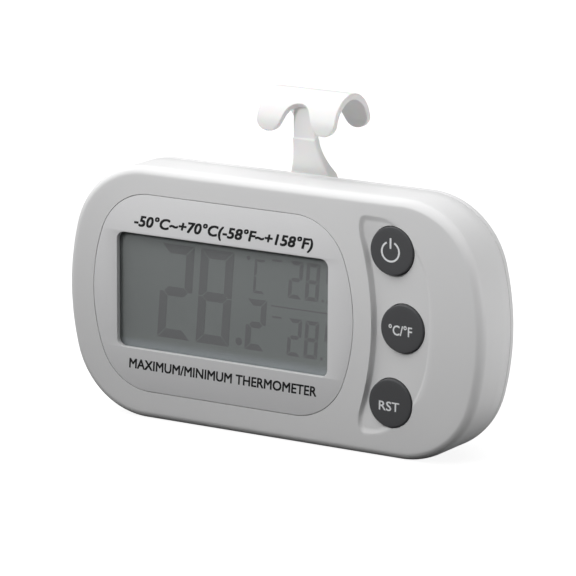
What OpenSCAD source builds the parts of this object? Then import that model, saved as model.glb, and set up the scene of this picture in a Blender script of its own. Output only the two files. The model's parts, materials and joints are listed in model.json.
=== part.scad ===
// Fridge and freezer thermometer with maximum and minimum memory.
// A pillowed two-part case holds a display, a circuit board, three rubber keys and a coin cell.
// A saddle-shaped hook folds out of a bay in the back to hang it from a shelf wire.
// +Z is up, the display faces -Y. The origin is the centre of the bounding box at the standing face.

/* [Case] */
// Overall width of the case
case_w = 86; // [80:1:92]
// Overall height of the case
case_h = 46.2; // [44:0.2:48]
// Overall depth from the key fronts to the magnet face
case_d = 21.2; // [21:0.1:21.6]
// Depth from the front face to the parting line
shell_d = 9.9; // [9.8:0.1:10.1]
// Depth from the front face to the rear rim
rim_d = 11.4; // [11.2:0.1:11.8]
// Radius of the bulged sides
side_r = 46; // [40:1:60]
// Radius of the corners
corner_r = 15.4; // [14:0.2:17]
// Wall thickness of both shells
wall = 1.6; // [1.4:0.1:1.8]
// How far the front edge rounding reaches in from the outline
edge_in = 1.5; // [1.3:0.1:2]
// How far the front edge rounding reaches back
edge_d = 1.9; // [1.6:0.1:2.2]

/* [Display] */
// Distance of the display centre from the case centre, to the left
view_x = 10.3; // [9:0.1:11]
// Height of the display centre above the case centre
view_z = 0.1; // [0:0.1:0.5]
// Width of the visible window
view_w = 45; // [42:0.1:45.4]
// Height of the visible window
view_h = 20.8; // [19:0.1:21]
// Width of the printed panel
panel_w = 54.5; // [52:0.1:55]
// Height of the printed panel
panel_h = 36; // [34:0.1:37]

/* [Keys] */
// Radius of a key cap
key_r = 4.35; // [4:0.05:4.5]
// How far the key caps stand in front of the face
key_proud = 0.15; // [0:0.05:0.4]
// How far a key can be pressed
key_travel = 0.5; // [0.3:0.05:0.5]
// Distance of the outer keys above and below the case centre
key_dz = 13.5; // [13:0.1:13.8]
// Distance of the outer keys from the case centre
key_x = 24.9; // [24.5:0.1:25]
// Distance of the middle key from the case centre
key_mid_x = 27.15; // [26.5:0.05:27.3]

/* [Hook] */
// Length of the saddle along the shelf wire
saddle_l = 16.3; // [15:0.1:16.5]
// Height of the saddle crest above the case centre
saddle_top = 37.6; // [36.5:0.1:37.8]
// Outer radius of the saddle
saddle_r = 6.4; // [6:0.1:6.4]
// Wall thickness of the saddle
saddle_t = 1.2; // [1:0.1:1.3]
// Radius of the hinge pin
pin_r = 1; // [0.8:0.05:1.1]

/* [Battery] */
// Diameter of the coin cell
cell_d = 20; // [20:0.1:20]
// Thickness of the coin cell
cell_t = 3.2; // [3:0.1:3.2]

/* [Hidden] */
$fn = 64;

// Case frame: y runs back from the front face and z up from the case centre.
back_y = case_d - key_proud;
fine = 0.05;
play = 0.2;

// Rounding steps of the outlines and edges
corner_steps = 12;
side_steps = 8;
edge_steps = 5;

// Rear cover taper: [inset, depth] of its sections
taper = [
    [0, shell_d + fine], [0, rim_d - 0.5], [0.35, rim_d],
    [4.6, back_y - 1], [5.2, back_y - 0.3], [5.8, back_y]
];
tongue_in = 2.6;
tongue_t = 1;

// Stack behind the front face
panel_t = 1;
panel_gap = 0.12;
panel_x = 10.1;
lens_t = 0.5;
glass_y = 1.75;
glass_t = 0.7;
glass_w = 49;
glass_top = 11.9;
glass_low = -12.2;
glass_ledge = 2;
board_y = 5.4;
board_t = 1;
web_t = 0.8;

// Key stack
key_flange_r = 4.75;
key_flange_y = 1.9;
key_flange_t = 1;
key_stem_r = 3;
pill_r = 1.8;
pill_t = 0.4;
pad_t = 0.05;
pill_end = board_y - pad_t - key_travel - 0.01;
key_z = 0.4;
KEYS = [[key_x, key_dz + key_z], [key_mid_x, key_z], [key_x, -key_dz + key_z]];

// Crescent pocket around the keys
pocket_d = 1;
pocket_right = 33.2;

// Screws
boss_r = 2.3;
screw_r = 0.98;
bore_r = 1;
head_r = 1.9;
cbore_r = 2.1;
seat_y = 12.4;
CASE_SCREWS = [[-27.5, 15.3], [-27.5, -15.3], [32.2, 12.6], [32.2, -12.6]];
BOARD_SCREWS = [[16.5, 15.5], [16.5, -15.5]];

// Battery bay
cell_x = -23;
well_r = cell_d / 2 + 0.4;
well_y = back_y - 6.45;
door_r = cell_d / 2 + 1.4;
door_y = back_y - 1.95;
lug_r = door_r + 0.7;
lug_y = door_y + 0.15;
lug_t = 0.8;

// Magnets
magnet_r = 5;
magnet_t = 2;
MAGNETS = [[23, 9.3], [23, -9.3]];

// Hook bay and hinge
bay_x = saddle_l / 2 + 1.2;
bay_wall = 1.4;
bay_y = rim_d + 0.1;
bay_low = -2.6;
nest_y = 7.5;
nest_wall = 0.8;
nest_top = 6.6;
pivot_y = 14.3;
pivot_z = 18;
barrel_r = 1.7;
barrel_x = 6.5;
arm_top = 29.1;
stem_x = 2.45;
stem_y = 11.2;
stem_t = 1.5;
saddle_y = stem_y + 3.3;

// A bulged rectangle: the sides are arcs of radius rs that meet corners of radius rc.
function half_outline(a, h, rs, rc) =
    let (
        phi = asin((h - rc) / (rs - rc)),
        xc = a - rs + (rs - rc) * cos(phi),
        zc = h - rc
    )
    concat(
        [for (k = [0:corner_steps])
            let (t = -90 + (90 - phi) * k / corner_steps)
            [xc + rc * cos(t), -zc + rc * sin(t)]],
        [for (k = [1:side_steps - 1])
            let (t = -phi + 2 * phi * k / side_steps)
            [a - rs + rs * cos(t), rs * sin(t)]],
        [for (k = [0:corner_steps])
            let (t = phi + (90 - phi) * k / corner_steps)
            [xc + rc * cos(t), zc + rc * sin(t)]]
    );

function mirrored(pts) = [for (k = [len(pts) - 1:-1:0]) [-pts[k][0], pts[k][1]]];

module bulged(a, h, rs, rc) {
    right = half_outline(a, h, rs, rc);
    polygon(concat(right, mirrored(right)));
}

module case_outline(inset) {
    bulged(case_w / 2 - inset, case_h / 2 - inset, side_r - inset, corner_r - inset);
}

module panel_outline(inset) {
    translate([-panel_x, view_z])
        bulged(panel_w / 2 - inset, panel_h / 2 - inset, 32 - inset, 10.6 - inset);
}

// A flat shape drawn in x and z, standing from depth y0 to depth y1
module slab(y0, y1) {
    translate([0, y1, 0])
        rotate([90, 0, 0])
            linear_extrude(y1 - y0)
                children();
}

// A cylinder along y at the point [x, z]
module rod(at, r, y0, y1) {
    translate([at[0], y1, at[1]])
        rotate([90, 0, 0])
            cylinder(r = r, h = y1 - y0);
}

module block(x0, x1, y0, y1, z0, z1) {
    translate([x0, y0, z0])
        cube([x1 - x0, y1 - y0, z1 - z0]);
}

module rounded_rect(w, h, r) {
    square([w - 2 * r, h], center = true);
    square([w, h - 2 * r], center = true);
    for (sx = [-1, 1], sz = [-1, 1])
        translate([sx * (w / 2 - r), sz * (h / 2 - r)])
            circle(r);
}

// Moves a piece from the case frame to the part's own frame
module placed() {
    translate([0, key_proud - case_d / 2, case_h / 2])
        children();
}

// Front shell

module shell_solid() {
    hull() {
        for (k = [0:edge_steps]) {
            t = 90 * k / edge_steps;
            slab(edge_d * (1 - sin(t)), edge_d * (1 - sin(t)) + fine)
                case_outline(edge_in * (1 - cos(t)));
        }
        slab(edge_d, shell_d)
            case_outline(0);
    }
}

// The crescent: a disc's left side is hollowed by a larger circle
module crescent() {
    intersection() {
        translate([8.2, 0])
            circle(25);
        translate([25, 0.2])
            rounded_rect(17, 39, 6);
        difference() {
            square(100, center = true);
            translate([-28, 0.2])
                circle(49);
        }
    }
}

module key_pocket() {
    lean = atan(pocket_d / (pocket_right - 17));
    translate([pocket_right, 0, 0])
        rotate([0, 0, -lean])
            translate([-pocket_right, 0, 0])
                slab(-3, 0)
                    crescent();
}

module front_shell() {
    color("whitesmoke")
    placed()
    difference() {
        union() {
            difference() {
                shell_solid();
                slab(wall, edge_d + 0.3)
                    case_outline(edge_in + 0.8);
                slab(edge_d, shell_d + 1)
                    case_outline(wall + 0.2);
            }
            for (p = CASE_SCREWS)
                rod(p, boss_r, wall - fine, shell_d);
            for (p = BOARD_SCREWS)
                rod(p, boss_r - 0.4, wall - fine, board_y);
        }
        slab(-1, panel_t)
            panel_outline(-panel_gap);
        slab(0, wall + 1)
            translate([-view_x, view_z])
                rounded_rect(view_w + 3.4, view_h + 1.6, 1.2);
        key_pocket();
        for (p = KEYS)
            rod(p, key_r + play, -2, wall + 1);
        for (p = CASE_SCREWS)
            rod(p, bore_r, 4, shell_d + 1);
        for (p = BOARD_SCREWS)
            rod(p, 0.75, 2.4, board_y + 1);
    }
}

// Rear cover

module cover_solid() {
    hull()
        for (s = taper)
            slab(s[1] - fine, s[1])
                case_outline(s[0]);
}

module cover_cavity() {
    hull() {
        slab(shell_d - 1, shell_d + 1)
            case_outline(wall + 0.2);
        slab(back_y - wall - 1, back_y - wall)
            case_outline(6.6);
    }
}

module cover_cores() {
    block(-bay_x - bay_wall, bay_x + bay_wall, bay_y - bay_wall, back_y, bay_low - bay_wall, case_h);
    rod([cell_x, 0], lug_r + 1.2, well_y - 1.2, back_y);
    for (p = CASE_SCREWS)
        rod(p, cbore_r + 1, shell_d, back_y);
    for (p = MAGNETS)
        rod(p, magnet_r + 1.3, back_y - magnet_t - 1.5, back_y);
}

module board_posts() {
    for (p = [[-33, 0], [14, 13], [14, -13], [32, 0]])
        rod(p, 1.5, board_y + board_t + fine, back_y - 1);
}

module battery_bay() {
    rod([cell_x, 0], well_r, well_y, back_y + 1);
    rod([cell_x, 0], door_r + play, door_y - 0.5, back_y + 1);
    rod([cell_x, 0], lug_r + play, lug_y - 0.1, lug_y + lug_t + 0.1);
    for (k = [0:2])
        translate([cell_x, 0, 0])
            rotate([0, 120 * k + 90, 0])
                block(0, lug_r + play, lug_y, back_y + 1, -2.8, 2.8);
    block(cell_x + 8.2, cell_x + 9, 5, well_y + 1, -1.6, 1.6);
    block(cell_x - 10.38, cell_x - 9.9, 5, door_y, -2.3, 2.3);
}

module hook_bay() {
    block(-bay_x, bay_x, bay_y, back_y + 1, bay_low, case_h);
    block(-bay_x, bay_x, nest_y, back_y + 1, bay_low, nest_top);
}

module rear_cover() {
    color("whitesmoke")
    placed()
    difference() {
        union() {
            difference() {
                cover_solid();
                difference() {
                    cover_cavity();
                    cover_cores();
                }
            }
            slab(shell_d - 1.3, shell_d + 1)
                difference() {
                    case_outline(tongue_in);
                    case_outline(tongue_in + tongue_t);
                }
            board_posts();
            block(-bay_x - bay_wall, bay_x + bay_wall, nest_y - nest_wall, bay_y,
                bay_low - bay_wall, nest_top + bay_wall);
        }
        battery_bay();
        hook_bay();
        for (p = CASE_SCREWS) {
            rod(p, screw_r + 0.15, shell_d - 1, back_y);
            rod(p, cbore_r, seat_y, back_y + 1);
        }
        for (p = MAGNETS)
            rod(p, magnet_r + 0.1, back_y - magnet_t - 0.15, back_y + 1);
        translate([-bay_x - 6, pivot_y, pivot_z])
            rotate([0, 90, 0])
                cylinder(r = pin_r, h = 2 * bay_x + 12);
    }
}

module case_gasket() {
    color("gray")
    placed()
    slab(shell_d - 0.9, shell_d - 0.1)
        difference() {
            case_outline(wall + 0.24);
            case_outline(tongue_in - 0.04);
        }
}

// Display stack

module label_panel() {
    color("whitesmoke")
    placed()
    slab(0, panel_t)
        difference() {
            panel_outline(0);
            translate([-view_x, view_z])
                rounded_rect(view_w, view_h, 1.5);
        }
}

module window_lens() {
    color("lightcyan")
    placed()
    slab(panel_t, panel_t + lens_t)
        translate([-view_x, view_z])
            rounded_rect(view_w + 3, view_h + 1.2, 1);
}

// A plate of the display, between two heights
module display_plate(y0, t, w, z0, z1) {
    placed()
    block(-view_x - w / 2, -view_x + w / 2, y0, y0 + t, z0, z1);
}

module lcd_polarizer() {
    color("darkseagreen")
    display_plate(glass_y - 0.2, 0.2, glass_w - 2, glass_low + glass_ledge - 0.6, glass_top - 0.8);
}

module lcd_front_glass() {
    color("lightgray")
    display_plate(glass_y, glass_t, glass_w, glass_low, glass_top);
}

module lcd_rear_glass() {
    color("darkgray")
    display_plate(glass_y + glass_t, glass_t, glass_w, glass_low + glass_ledge, glass_top);
}

module lcd_reflector() {
    color("silver")
    display_plate(glass_y + 2 * glass_t, 0.2, glass_w - 2, glass_low + glass_ledge, glass_top - 1);
}

module lcd_holder() {
    color("white")
    placed()
    difference() {
        block(-view_x - glass_w / 2 - 0.8, -view_x + glass_w / 2 + 0.8, wall + fine, board_y,
            glass_low - 0.7, glass_top + 0.8);
        block(-view_x - glass_w / 2 - 0.1, -view_x + glass_w / 2 + 0.1, 0, board_y - 1.6,
            glass_low - 0.1, glass_top + 0.1);
        block(-view_x - glass_w / 2 + 2, -view_x + glass_w / 2 - 2, 0, board_y + 1,
            glass_low + glass_ledge, glass_top - 2);
        block(-view_x - glass_w / 2 + 2, -view_x + glass_w / 2 - 2, 0, board_y + 1,
            glass_low + 0.2, glass_low + glass_ledge - 0.4);
    }
}

module zebra_strip() {
    color("dimgray")
    placed()
    block(-view_x - glass_w / 2 + 2.2, -view_x + glass_w / 2 - 2.2, glass_y + glass_t, board_y,
        glass_low + 0.3, glass_low + glass_ledge - 0.5);
}

// Circuit board and what it carries

module circuit_board() {
    color("seagreen")
    placed()
    difference() {
        union() {
            block(-34.8, 29.6, board_y, board_y + board_t, -17.5, 17.5);
            block(20, 34.5, board_y, board_y + board_t, -9, 9);
        }
        for (p = CASE_SCREWS)
            rod(p, boss_r + 0.3, 0, 10);
        for (p = BOARD_SCREWS)
            rod(p, 0.9, 0, 10);
    }
}

module chip_blob() {
    color("black")
    placed()
    translate([20, board_y + board_t, 3])
        rotate([-90, 0, 0])
            rotate_extrude()
                intersection() {
                    translate([0, -7.6])
                        circle(9);
                    square([6, 3]);
                }
}

module crystal() {
    color("silver")
    placed() {
        translate([17, board_y + board_t + 1.05, -8])
            rotate([0, 90, 0])
                cylinder(r = 1, h = 6);
        for (dz = [-0.4, 0.4])
            translate([15.2, board_y + board_t + 1.05, -8 + dz])
                rotate([0, 90, 0])
                    cylinder(r = 0.2, h = 1.9);
    }
}

module chip_parts() {
    color("tan")
    placed() {
        for (k = [0:4])
            block(-30 + 4 * k, -28.4 + 4 * k, board_y + board_t, board_y + board_t + 0.6, -12.4, -11.6);
        for (k = [0:3])
            block(15 + 3 * k, 16.2 + 3 * k, board_y + board_t, board_y + board_t + 0.8, 9.5, 11.5);
    }
}

module thermistor() {
    color("saddlebrown")
    placed() {
        translate([31, board_y + board_t + 2.4, -5.5])
            sphere(r = 1.2);
        for (dz = [-0.5, 0.5])
            rod([31, -5.5 + dz], 0.2, board_y + board_t, board_y + board_t + 1.8);
    }
}

// Keys

module keypad_web() {
    color("dimgray")
    placed()
    difference() {
        slab(board_y - web_t, board_y) {
            for (p = KEYS)
                translate(p)
                    circle(5);
            translate([KEYS[0][0], 7])
                square([6, 8], center = true);
            translate([KEYS[2][0], -7])
                square([6, 8], center = true);
        }
        for (p = KEYS)
            rod(p, key_stem_r + 0.6, 0, 10);
    }
}

module key(p) {
    color("darkslategray")
    placed() {
        rod(p, key_r, -key_proud, key_flange_y);
        rod(p, key_flange_r, key_flange_y, key_flange_y + key_flange_t);
        rod(p, key_stem_r, key_flange_y + key_flange_t, pill_end - pill_t);
    }
}

module key_power() key(KEYS[0]);
module key_units() key(KEYS[1]);
module key_reset() key(KEYS[2]);

module pill(p) {
    color("black")
    placed()
    rod(p, pill_r, pill_end - pill_t, pill_end);
}

module pill_power() pill(KEYS[0]);
module pill_units() pill(KEYS[1]);
module pill_reset() pill(KEYS[2]);

module key_pads() {
    color("gold")
    placed()
    for (p = KEYS)
        rod(p, 2.3, board_y - pad_t, board_y);
}

// Battery

module coin_cell() {
    color("silver")
    placed() {
        rod([cell_x, 0], cell_d / 2, door_y - 0.8 - cell_t + 0.4, door_y - 0.8);
        rod([cell_x, 0], cell_d / 2 - 1.2, door_y - 0.8 - cell_t, door_y - 0.8 - cell_t + 0.4);
    }
}

module contact_plus() {
    color("gold")
    placed()
    block(cell_x - 10.3, cell_x - 10.05, board_y + board_t, door_y - 1.2, -2, 2);
}

module contact_minus() {
    color("gold")
    placed() {
        block(cell_x - 6, cell_x + 8.7, well_y, well_y + 0.25, -1.4, 1.4);
        block(cell_x + 8.45, cell_x + 8.7, board_y + board_t, well_y, -1.4, 1.4);
        rod([cell_x, 0], 1.2, well_y + 0.25, door_y - 0.8 - cell_t);
    }
}

module battery_door() {
    color("gainsboro")
    placed()
    difference() {
        union() {
            rod([cell_x, 0], door_r, door_y, back_y - 0.1);
            for (k = [0:2])
                intersection() {
                    rod([cell_x, 0], lug_r, lug_y, lug_y + lug_t);
                    translate([cell_x, 0, 0])
                        rotate([0, 120 * k + 45, 0])
                            block(0, 20, 0, 30, -2.4, 2.4);
                }
        }
        block(cell_x - 7, cell_x + 7, back_y - 1.3, back_y + 1, -0.9, 0.9);
    }
}

module door_seal() {
    color("black")
    placed()
    translate([cell_x, door_y - 0.25, 0])
        rotate([90, 0, 0])
            rotate_extrude()
                translate([door_r - 0.5, 0])
                    circle(0.22);
}

// Magnets and screws

module magnets() {
    color("silver")
    placed()
    for (p = MAGNETS)
        rod(p, magnet_r, back_y - magnet_t - 0.1, back_y - 0.1);
}

module case_screws() {
    color("silver")
    placed()
    for (p = CASE_SCREWS)
        difference() {
            union() {
                rod(p, screw_r, 4.6, seat_y + 0.2);
                rod(p, head_r, seat_y, seat_y + 1.4);
            }
            for (a = [0, 90])
                translate([p[0], seat_y + 1, p[1]])
                    rotate([0, a, 0])
                        block(-1.2, 1.2, 0, 2, -0.25, 0.25);
        }
}

module board_screws() {
    color("silver")
    placed()
    for (p = BOARD_SCREWS) {
        rod(p, 0.73, 2.8, board_y + board_t + 0.2);
        rod(p, 1.5, board_y + board_t, board_y + board_t + 1);
    }
}

// Hook

// Half of the saddle's arch at radius r, from the crest to the end of its straight leg
leg = 1.2;
arch_steps = 12;
function arch(r) = concat(
    [for (k = [0:arch_steps]) [r * sin(90 * k / arch_steps), r * cos(90 * k / arch_steps)]],
    [[r, -leg]]
);

module arch_band() {
    outer = arch(saddle_r);
    inner = arch(saddle_r - saddle_t);
    translate([saddle_y, saddle_top - saddle_r])
        polygon(concat(mirrored(outer), outer, [for (k = [len(inner) - 1:-1:0]) inner[k]],
            [for (p = inner) [-p[0], p[1]]]));
}

// Side view of a piece, drawn in y and z, and extruded across the width w
module side_view(w) {
    translate([-w / 2, 0, 0])
        rotate([90, 0, 90])
            linear_extrude(w)
                children();
}

module lobes() {
    lobe_r = 2.45;
    low = 30.3;
    arch_r = saddle_l / 2 - 2 * lobe_r;
    difference() {
        union() {
            for (s = [-1, 1]) {
                translate([s * (saddle_l / 2 - lobe_r), low + lobe_r])
                    circle(lobe_r);
                translate([s * (saddle_l / 2 - lobe_r) - lobe_r, low + lobe_r])
                    square([2 * lobe_r, 5]);
            }
            translate([-saddle_l / 2, 34])
                square([saddle_l, 5]);
        }
        translate([0, low + lobe_r])
            scale([1, 0.88])
                circle(arch_r);
        translate([-arch_r, 25])
            square([2 * arch_r, low + lobe_r - 25]);
    }
}

// The arm widens and leans back on its way down to the hinge barrel
arm_drop = arm_top - pivot_z;
arm_steps = 10;
function arm_half(t) = stem_x + min(2.4, 3.5 * pow(t, 1.6));
function arm_front(t) = stem_y - 0.1 + 2 * min(1, t * 1.7);
function arm_back(t) = stem_y + stem_t + 0.1 + 3.5 * pow(min(1, t * 1.7), 1.6);

module arm() {
    fronts = [for (k = [0:arm_steps]) [arm_front(k / arm_steps), arm_top - arm_drop * k / arm_steps]];
    backs = [for (k = [arm_steps:-1:0]) [arm_back(k / arm_steps), arm_top - arm_drop * k / arm_steps]];
    sides = [for (k = [0:arm_steps]) [arm_half(k / arm_steps), arm_top - arm_drop * k / arm_steps]];
    intersection() {
        side_view(20)
            polygon(concat(fronts, backs));
        slab(5, 25)
            polygon(concat(sides, mirrored(sides)));
    }
}

module barrel() {
    translate([-barrel_x, pivot_y, pivot_z])
        rotate([0, 90, 0])
            cylinder(r = barrel_r, h = 2 * barrel_x);
}

module hook() {
    color("white")
    placed()
    difference() {
        union() {
            intersection() {
                side_view(saddle_l)
                    arch_band();
                slab(5, 25)
                    lobes();
            }
            block(-stem_x, stem_x, stem_y, stem_y + stem_t, arm_top - 0.5, saddle_top - saddle_t + 0.1);
            arm();
            barrel();
        }
        translate([-20, pivot_y, pivot_z])
            rotate([0, 90, 0])
                cylinder(r = pin_r + 0.05, h = 40);
    }
}

module hook_pin() {
    color("silver")
    placed()
    translate([-bay_x - 2.5, pivot_y, pivot_z])
        rotate([0, 90, 0])
            cylinder(r = pin_r - 0.01, h = 2 * bay_x + 5);
}

front_shell();
rear_cover();
case_gasket();
label_panel();
window_lens();
lcd_polarizer();
lcd_front_glass();
lcd_rear_glass();
lcd_reflector();
lcd_holder();
zebra_strip();
circuit_board();
chip_blob();
crystal();
chip_parts();
thermistor();
keypad_web();
key_power();
key_units();
key_reset();
pill_power();
pill_units();
pill_reset();
key_pads();
coin_cell();
contact_plus();
contact_minus();
battery_door();
door_seal();
magnets();
case_screws();
board_screws();
hook();
hook_pin();
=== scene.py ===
# %% [markdown]
# # A fridge thermometer that remembers its highest and lowest reading
# The case is a soft white pillow of two shells. A grey display looks out of a flush panel on the
# left, three charcoal keys sit in a crescent pocket on the right, and a saddle hook folds out of
# a bay in the back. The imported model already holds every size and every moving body, so this
# lesson only gives the pieces their final surfaces and finishes.

# %% Load the frame
import bmesh
import bpy
import json
import math
from mathutils import Matrix, Vector


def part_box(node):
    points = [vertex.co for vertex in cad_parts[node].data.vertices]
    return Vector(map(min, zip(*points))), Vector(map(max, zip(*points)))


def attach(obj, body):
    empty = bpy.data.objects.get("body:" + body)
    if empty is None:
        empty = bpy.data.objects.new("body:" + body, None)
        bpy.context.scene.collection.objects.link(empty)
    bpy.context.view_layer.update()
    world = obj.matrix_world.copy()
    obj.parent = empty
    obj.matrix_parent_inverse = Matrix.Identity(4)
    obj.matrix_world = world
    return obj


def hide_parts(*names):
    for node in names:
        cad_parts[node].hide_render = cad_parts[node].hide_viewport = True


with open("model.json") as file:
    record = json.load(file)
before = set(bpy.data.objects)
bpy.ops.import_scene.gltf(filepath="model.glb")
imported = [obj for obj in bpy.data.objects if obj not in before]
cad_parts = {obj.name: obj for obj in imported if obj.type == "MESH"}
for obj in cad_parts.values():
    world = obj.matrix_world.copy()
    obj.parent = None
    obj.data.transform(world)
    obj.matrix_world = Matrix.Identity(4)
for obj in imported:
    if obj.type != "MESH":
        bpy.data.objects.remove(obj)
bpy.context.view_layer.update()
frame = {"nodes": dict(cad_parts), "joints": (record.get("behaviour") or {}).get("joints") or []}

print("pieces in the packed model:", len(frame["nodes"]))

# %% [markdown]
# The model is in metres, and its origin lies under the case. A thermometer is easier to describe
# in millimetres from the middle of its own front face, so one function turns such a place into
# the frame's. All sizes that the model knows are read from its boxes.

# %% Case coordinates
MM = 0.001
shell_low, shell_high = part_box("front_shell")
cover_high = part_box("rear_cover")[1]
ORIGIN = Vector((0, shell_low.y, (shell_low.z + shell_high.z) / 2))
HALF_W = shell_high.x / MM
HALF_H = (shell_high.z - shell_low.z) / 2 / MM
PART_Y = (shell_high.y - shell_low.y) / MM
BACK_Y = (cover_high.y - shell_low.y) / MM


def place(x, y, z):
    return ORIGIN + Vector((x, y, z)) * MM


def box_mm(node):
    low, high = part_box(node)
    return (low - ORIGIN) / MM, (high - ORIGIN) / MM


def middle(node):
    low, high = box_mm(node)
    return (low + high) / 2


print("case half width and height, mm:", round(HALF_W, 2), round(HALF_H, 2))

# %% [markdown]
# ## Shader groups
# Moulded plastic, rubber and metal are never one flat colour. Each has a grain that catches the
# light and a slow cloud of slightly different tone. Both come from noise in object space, so they
# are made once as a node group, and every material places the group with its own sizes.

# %% A helper for node trees
def node(tree, kind, **values):
    """Adds a node; a value is set on the input of that name, or else on the node itself."""
    made = tree.nodes.new(kind)
    for key, value in values.items():
        label = key.replace("_", " ")
        if label in made.inputs:
            made.inputs[label].default_value = value
        else:
            setattr(made, key, value)
    return made


def linker(tree):
    """A function that links one node's output to another node's input, each by its label."""
    def link(source, output, target, into):
        tree.links.new(source.outputs[output], target.inputs[into])
    return link


def group_tree(name, inputs, outputs):
    tree = bpy.data.node_groups.new(name, "ShaderNodeTree")
    for label, kind, value in inputs:
        made = tree.interface.new_socket(name=label, in_out="INPUT", socket_type=kind)
        made.default_value = value
    for label, kind in outputs:
        tree.interface.new_socket(name=label, in_out="OUTPUT", socket_type=kind)
    return tree, tree.nodes.new("NodeGroupInput"), tree.nodes.new("NodeGroupOutput")


# %% Grain and cloud
def make_grain_group():
    tree, start, end = group_tree(
        "Grain and cloud",
        [
            ("Grain Scale", "NodeSocketFloat", 4000.0),
            ("Cloud Scale", "NodeSocketFloat", 60.0),
            ("Stretch", "NodeSocketVector", (1.0, 1.0, 1.0)),
        ],
        [("Grain", "NodeSocketFloat"), ("Cloud", "NodeSocketFloat")],
    )
    where = node(tree, "ShaderNodeTexCoord")
    mapping = node(tree, "ShaderNodeMapping")
    grain = node(tree, "ShaderNodeTexNoise", Detail=3.0, Roughness=0.6)
    cloud = node(tree, "ShaderNodeTexNoise", Detail=4.0, Roughness=0.5)
    link = linker(tree)
    link(where, "Object", mapping, "Vector")
    link(start, "Stretch", mapping, "Scale")
    link(mapping, "Vector", grain, "Vector")
    link(where, "Object", cloud, "Vector")
    link(start, "Grain Scale", grain, "Scale")
    link(start, "Cloud Scale", cloud, "Scale")
    link(grain, "Fac", end, "Grain")
    link(cloud, "Fac", end, "Cloud")
    return tree


GRAIN = make_grain_group()
print("made the group", GRAIN.name)

# %% [markdown]
# A used case also gathers a little dust where it faces up. The group below turns the surface
# direction and a noise into a soft mask, which a material uses to dull its gloss.

# %% Settled dust
def make_dust_group():
    tree, start, end = group_tree(
        "Settled dust",
        [("Patch Scale", "NodeSocketFloat", 180.0), ("Amount", "NodeSocketFloat", 0.4)],
        [("Dust", "NodeSocketFloat")],
    )
    facing = node(tree, "ShaderNodeNewGeometry")
    split = node(tree, "ShaderNodeSeparateXYZ")
    where = node(tree, "ShaderNodeTexCoord")
    patches = node(tree, "ShaderNodeTexNoise", Detail=5.0, Roughness=0.65)
    upward = node(tree, "ShaderNodeMapRange", From_Min=0.2)
    spots = node(tree, "ShaderNodeMapRange", From_Min=0.42, From_Max=0.7)
    both = node(tree, "ShaderNodeMath", operation="MULTIPLY")
    scaled = node(tree, "ShaderNodeMath", operation="MULTIPLY")
    link = linker(tree)
    link(facing, "Normal", split, "Vector")
    link(split, "Z", upward, "Value")
    link(where, "Object", patches, "Vector")
    link(start, "Patch Scale", patches, "Scale")
    link(patches, "Fac", spots, "Value")
    link(upward, "Result", both, 0)
    link(spots, "Result", both, 1)
    link(both, "Value", scaled, 0)
    link(start, "Amount", scaled, 1)
    link(scaled, "Value", end, "Dust")
    return tree


DUST = make_dust_group()
print("made the group", DUST.name)

# %% [markdown]
# ## Finishes
# One function makes a finish: it mixes two close tones by the cloud, moves the roughness by the
# cloud and the dust, and bumps the surface with the grain. Everything that is constant, such as
# metalness or sheen, is set straight on the Principled shader.

# %% One function for a finish
def finish(name, tone, dark, rough, spread=0.06, grain=3500.0, bump=0.04, cloud=70.0,
           stretch=(1, 1, 1), dust=0.0, alpha=1.0, **constants):
    made = bpy.data.materials.new(name)
    made.use_nodes = True
    tree = made.node_tree
    shader = tree.nodes["Principled BSDF"]
    for key, value in constants.items():
        shader.inputs[key.replace("_", " ")].default_value = value
    shader.inputs["Alpha"].default_value = alpha
    noise = node(tree, "ShaderNodeGroup", node_tree=GRAIN, Grain_Scale=grain, Cloud_Scale=cloud,
                 Stretch=stretch)
    colour = node(tree, "ShaderNodeMix", data_type="RGBA")
    colour.inputs[6].default_value = (*dark, 1)
    colour.inputs[7].default_value = (*tone, 1)
    gloss = node(tree, "ShaderNodeMapRange", To_Min=max(0.02, rough - spread),
                 To_Max=min(1.0, rough + spread))
    height = node(tree, "ShaderNodeBump", Strength=bump, Distance=0.05 * MM)
    link = linker(tree)
    link(noise, "Cloud", colour, "Factor")
    link(noise, "Cloud", gloss, "Value")
    link(noise, "Grain", height, "Height")
    link(height, "Normal", shader, "Normal")
    link(colour, 2, shader, "Base Color")
    if dust:
        settled = node(tree, "ShaderNodeGroup", node_tree=DUST, Amount=dust)
        dulled = node(tree, "ShaderNodeMath", operation="ADD", use_clamp=True)
        link(gloss, "Result", dulled, 0)
        link(settled, "Dust", dulled, 1)
        link(dulled, "Value", shader, "Roughness")
    else:
        link(gloss, "Result", shader, "Roughness")
    return made


# %% Plastics and rubbers
CASE_PLASTIC = finish("case plastic", (0.80, 0.80, 0.80), (0.77, 0.77, 0.775), 0.42, dust=0.12)
PANEL_PLASTIC = finish("panel plastic", (0.79, 0.79, 0.795), (0.76, 0.76, 0.77), 0.36, bump=0.02)
HOOK_PLASTIC = finish("hook plastic", (0.88, 0.88, 0.875), (0.85, 0.85, 0.845), 0.36, bump=0.03,
                      Subsurface_Weight=0.25, Subsurface_Scale=0.6 * MM)
HOLDER_PLASTIC = finish("holder plastic", (0.80, 0.80, 0.78), (0.74, 0.74, 0.72), 0.5)
KEY_RUBBER = finish("key rubber", (0.072, 0.073, 0.077), (0.064, 0.065, 0.069), 0.62, bump=0.12,
                    grain=6000.0, Sheen_Weight=0.15)
SEAL_RUBBER = finish("seal rubber", (0.03, 0.03, 0.03), (0.02, 0.02, 0.02), 0.7, bump=0.1)
CARBON = finish("carbon pill", (0.012, 0.012, 0.012), (0.006, 0.006, 0.006), 0.8, bump=0.15)
KEY_PAINT = finish("key paint", (0.88, 0.89, 0.90), (0.84, 0.85, 0.86), 0.5)
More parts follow.
